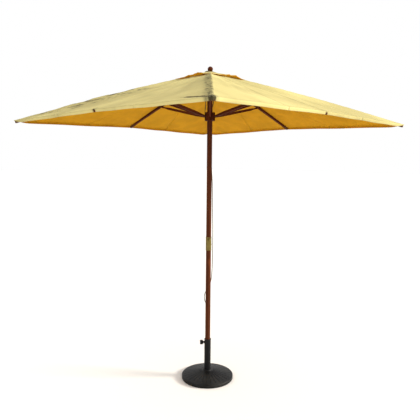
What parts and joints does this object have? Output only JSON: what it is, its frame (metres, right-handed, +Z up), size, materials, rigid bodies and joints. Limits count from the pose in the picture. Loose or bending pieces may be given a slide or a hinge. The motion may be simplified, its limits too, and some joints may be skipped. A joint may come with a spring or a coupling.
{
  "type": "market parasol",
  "caption": "Square wooden market parasol with folding ribs and struts, vent cap, pulley rope and ball finial, on a round weighted base with a side clamp.",
  "frame": {"origin": "centre of the ground ring under the base", "axes": "+Z up the pole; the canopy's sides face +X, -X, +Y and -Y"},
  "size_m": [2.002, 2.002, 2.3229],
  "materials": {
    "canopy_cloth": "plain woven, matt, lightly weathered",
    "rib_wood": "dark stained, oiled",
    "pole_wood": "dark stained, satin varnish",
    "hub_wood": "dark stained, satin varnish",
    "steel": "plain",
    "brass": "dull, aged",
    "base_iron": "black paint, satin",
    "tube_paint": "black powder coat",
    "black_plastic": "fine grain",
    "rope_fibre": "braided, weathered"
  },
  "bodies": {
    "base": {"base_disc": "base_iron", "base_washer": "steel", "base_bolt": "steel", "tube_plug": "tube_paint", "base_tube": "tube_paint", "clamp_boss": "tube_paint"},
    "clamp_pad": {"clamp_pad": "black_plastic"},
    "clamp_knob": {"clamp_screw": "steel", "clamp_knob": "black_plastic"},
    "pole_bush": {"pole_bush": "black_plastic"},
    "lower_pole": {"lower_pole": "pole_wood", "pole_ferrule": "brass", "ferrule_screws": "brass"},
    "upper_pole": {"upper_pole": "pole_wood", "pulley_axle": "steel", "finial": "hub_wood", "crown_hub": "hub_wood", "crown_pins": "steel", "vent_cap": "canopy_cloth", "lift_rope": "rope_fibre", "rope_stopper": "rope_fibre"},
    "pulley": {"pulley_wheel": "brass"},
    "runner": {"runner_hub": "hub_wood", "runner_eye": "brass"},
    "corner_pp_rib": {"corner_pp_rib": "rib_wood", "corner_pp_pin": "steel", "corner_pp_panel": "canopy_cloth"},
    "corner_pp_strut": {"corner_pp_strut": "rib_wood"},
    "corner_np_rib": {"corner_np_rib": "rib_wood", "corner_np_pin": "steel", "corner_np_panel": "canopy_cloth"},
    "corner_np_strut": {"corner_np_strut": "rib_wood"},
    "corner_nn_rib": {"corner_nn_rib": "rib_wood", "corner_nn_pin": "steel", "corner_nn_panel": "canopy_cloth"},
    "corner_nn_strut": {"corner_nn_strut": "rib_wood"},
    "corner_pn_rib": {"corner_pn_rib": "rib_wood", "corner_pn_pin": "steel", "corner_pn_panel": "canopy_cloth"},
    "corner_pn_strut": {"corner_pn_strut": "rib_wood"},
    "side_px_rib": {"side_px_rib": "rib_wood", "side_px_pin": "steel", "side_px_panel": "canopy_cloth"},
    "side_px_strut": {"side_px_strut": "rib_wood"},
    "side_py_rib": {"side_py_rib": "rib_wood", "side_py_pin": "steel", "side_py_panel": "canopy_cloth"},
    "side_py_strut": {"side_py_strut": "rib_wood"},
    "side_nx_rib": {"side_nx_rib": "rib_wood", "side_nx_pin": "steel", "side_nx_panel": "canopy_cloth"},
    "side_nx_strut": {"side_nx_strut": "rib_wood"},
    "side_ny_rib": {"side_ny_rib": "rib_wood", "side_ny_pin": "steel", "side_ny_panel": "canopy_cloth"},
    "side_ny_strut": {"side_ny_strut": "rib_wood"}
  },
  "joints": [
    {"name": "base_swivel", "type": "hinge", "parent": "base", "child": "pole_bush", "pos_m": [0, 0, 0.28], "axis": [0, 0, 1], "continuous": true},
    {"name": "pole_lift", "type": "slide", "parent": "pole_bush", "child": "lower_pole", "axis": [0, 0, 1], "range_m": [0, 0.265]},
    {"name": "pole_parting", "type": "slide", "parent": "lower_pole", "child": "upper_pole", "axis": [0, 0, 1], "range_m": [0, 0.038]},
    {"name": "clamp_turn_travel", "type": "slide", "parent": "base", "child": "clamp_pad", "axis": [-0.7071, -0.7071, 0], "range_m": [0, 0.0025]},
    {"name": "clamp_turn", "type": "hinge", "parent": "clamp_pad", "child": "clamp_knob", "pos_m": [-0.03182, -0.03182, 0.275], "axis": [-0.7071, -0.7071, 0], "range_deg": [0, 720]},
    {"name": "runner_slide", "type": "slide", "parent": "upper_pole", "child": "runner", "axis": [0, 0, -1], "range_m": [0, 0.76022], "deforming": ["lift_rope", "vent_cap"]},
    {"name": "pulley_spin", "type": "hinge", "parent": "upper_pole", "child": "pulley", "pos_m": [0, 0, 2.13], "axis": [0.7071, -0.7071, 0], "continuous": true},
    {"name": "corner_pp_fold", "type": "hinge", "parent": "upper_pole", "child": "corner_pp_rib", "pos_m": [0.0297, 0.0297, 2.258], "axis": [-0.7071, 0.7071, 0], "range_deg": [0, 69.85], "deforming": ["corner_pp_panel"]},
    {"name": "corner_pp_strut_fold", "type": "hinge", "parent": "corner_pp_rib", "child": "corner_pp_strut", "pos_m": [0.38648, 0.38648, 2.14044], "axis": [-0.7071, 0.7071, 0], "range_deg": [-133.66, 0]},
    {"name": "corner_np_fold", "type": "hinge", "parent": "upper_pole", "child": "corner_np_rib", "pos_m": [-0.0297, 0.0297, 2.258], "axis": [-0.7071, -0.7071, 0], "range_deg": [0, 69.85], "deforming": ["corner_np_panel"]},
    {"name": "corner_np_strut_fold", "type": "hinge", "parent": "corner_np_rib", "child": "corner_np_strut", "pos_m": [-0.38648, 0.38648, 2.14044], "axis": [-0.7071, -0.7071, 0], "range_deg": [-133.66, 0]},
    {"name": "corner_nn_fold", "type": "hinge", "parent": "upper_pole", "child": "corner_nn_rib", "pos_m": [-0.0297, -0.0297, 2.258], "axis": [0.7071, -0.7071, 0], "range_deg": [0, 69.85], "deforming": ["corner_nn_panel"]},
    {"name": "corner_nn_strut_fold", "type": "hinge", "parent": "corner_nn_rib", "child": "corner_nn_strut", "pos_m": [-0.38648, -0.38648, 2.14044], "axis": [0.7071, -0.7071, 0], "range_deg": [-133.66, 0]},
    {"name": "corner_pn_fold", "type": "hinge", "parent": "upper_pole", "child": "corner_pn_rib", "pos_m": [0.0297, -0.0297, 2.258], "axis": [0.7071, 0.7071, 0], "range_deg": [0, 69.85], "deforming": ["corner_pn_panel"]},
    {"name": "corner_pn_strut_fold", "type": "hinge", "parent": "corner_pn_rib", "child": "corner_pn_strut", "pos_m": [0.38648, -0.38648, 2.14044], "axis": [0.7071, 0.7071, 0], "range_deg": [-133.66, 0]},
    {"name": "side_px_fold", "type": "hinge", "parent": "upper_pole", "child": "side_px_rib", "pos_m": [0.042, 0, 2.258], "axis": [0, 1, 0], "range_deg": [0, 63.5], "deforming": ["side_px_panel"]},
    {"name": "side_px_strut_fold", "type": "hinge", "parent": "side_px_rib", "child": "side_px_strut", "pos_m": [0.55034, 0, 2.07581], "axis": [0, 1, 0], "range_deg": [-134.63, 0]},
    {"name": "side_py_fold", "type": "hinge", "parent": "upper_pole", "child": "side_py_rib", "pos_m": [0, 0.042, 2.258], "axis": [-1, 0, 0], "range_deg": [0, 63.5], "deforming": ["side_py_panel"]},
    {"name": "side_py_strut_fold", "type": "hinge", "parent": "side_py_rib", "child": "side_py_strut", "pos_m": [0, 0.55034, 2.07581], "axis": [-1, 0, 0], "range_deg": [-134.63, 0]},
    {"name": "side_nx_fold", "type": "hinge", "parent": "upper_pole", "child": "side_nx_rib", "pos_m": [-0.042, 0, 2.258], "axis": [0, -1, 0], "range_deg": [0, 63.5], "deforming": ["side_nx_panel"]},
    {"name": "side_nx_strut_fold", "type": "hinge", "parent": "side_nx_rib", "child": "side_nx_strut", "pos_m": [-0.55034, 0, 2.07581], "axis": [0, -1, 0], "range_deg": [-134.63, 0]},
    {"name": "side_ny_fold", "type": "hinge", "parent": "upper_pole", "child": "side_ny_rib", "pos_m": [0, -0.042, 2.258], "axis": [1, 0, 0], "range_deg": [0, 63.5], "deforming": ["side_ny_panel"]},
    {"name": "side_ny_strut_fold", "type": "hinge", "parent": "side_ny_rib", "child": "side_ny_strut", "pos_m": [0, -0.55034, 2.07581], "axis": [1, 0, 0], "range_deg": [-134.63, 0]}
  ],
  "couplings": [
    {"joint": "clamp_turn_travel", "follows": "clamp_turn", "m_per_rad": 0.00019894},
    {"joint": "pulley_spin", "follows": "runner_slide", "rad_per_m": 35.714},
    {"joint": "corner_pp_fold", "follows": "runner_slide", "rad_per_m": 1.6035},
    {"joint": "corner_pp_strut_fold", "follows": "runner_slide", "rad_per_m": -3.0685},
    {"joint": "corner_np_fold", "follows": "runner_slide", "rad_per_m": 1.6035},
    {"joint": "corner_np_strut_fold", "follows": "runner_slide", "rad_per_m": -3.0685},
    {"joint": "corner_nn_fold", "follows": "runner_slide", "rad_per_m": 1.6035},
    {"joint": "corner_nn_strut_fold", "follows": "runner_slide", "rad_per_m": -3.0685},
    {"joint": "corner_pn_fold", "follows": "runner_slide", "rad_per_m": 1.6035},
    {"joint": "corner_pn_strut_fold", "follows": "runner_slide", "rad_per_m": -3.0685},
    {"joint": "side_px_fold", "follows": "runner_slide", "rad_per_m": 1.4578},
    {"joint": "side_px_strut_fold", "follows": "runner_slide", "rad_per_m": -3.0908},
    {"joint": "side_py_fold", "follows": "runner_slide", "rad_per_m": 1.4578},
    {"joint": "side_py_strut_fold", "follows": "runner_slide", "rad_per_m": -3.0908},
    {"joint": "side_nx_fold", "follows": "runner_slide", "rad_per_m": 1.4578},
    {"joint": "side_nx_strut_fold", "follows": "runner_slide", "rad_per_m": -3.0908},
    {"joint": "side_ny_fold", "follows": "runner_slide", "rad_per_m": 1.4578},
    {"joint": "side_ny_strut_fold", "follows": "runner_slide", "rad_per_m": -3.0908}
  ]
}
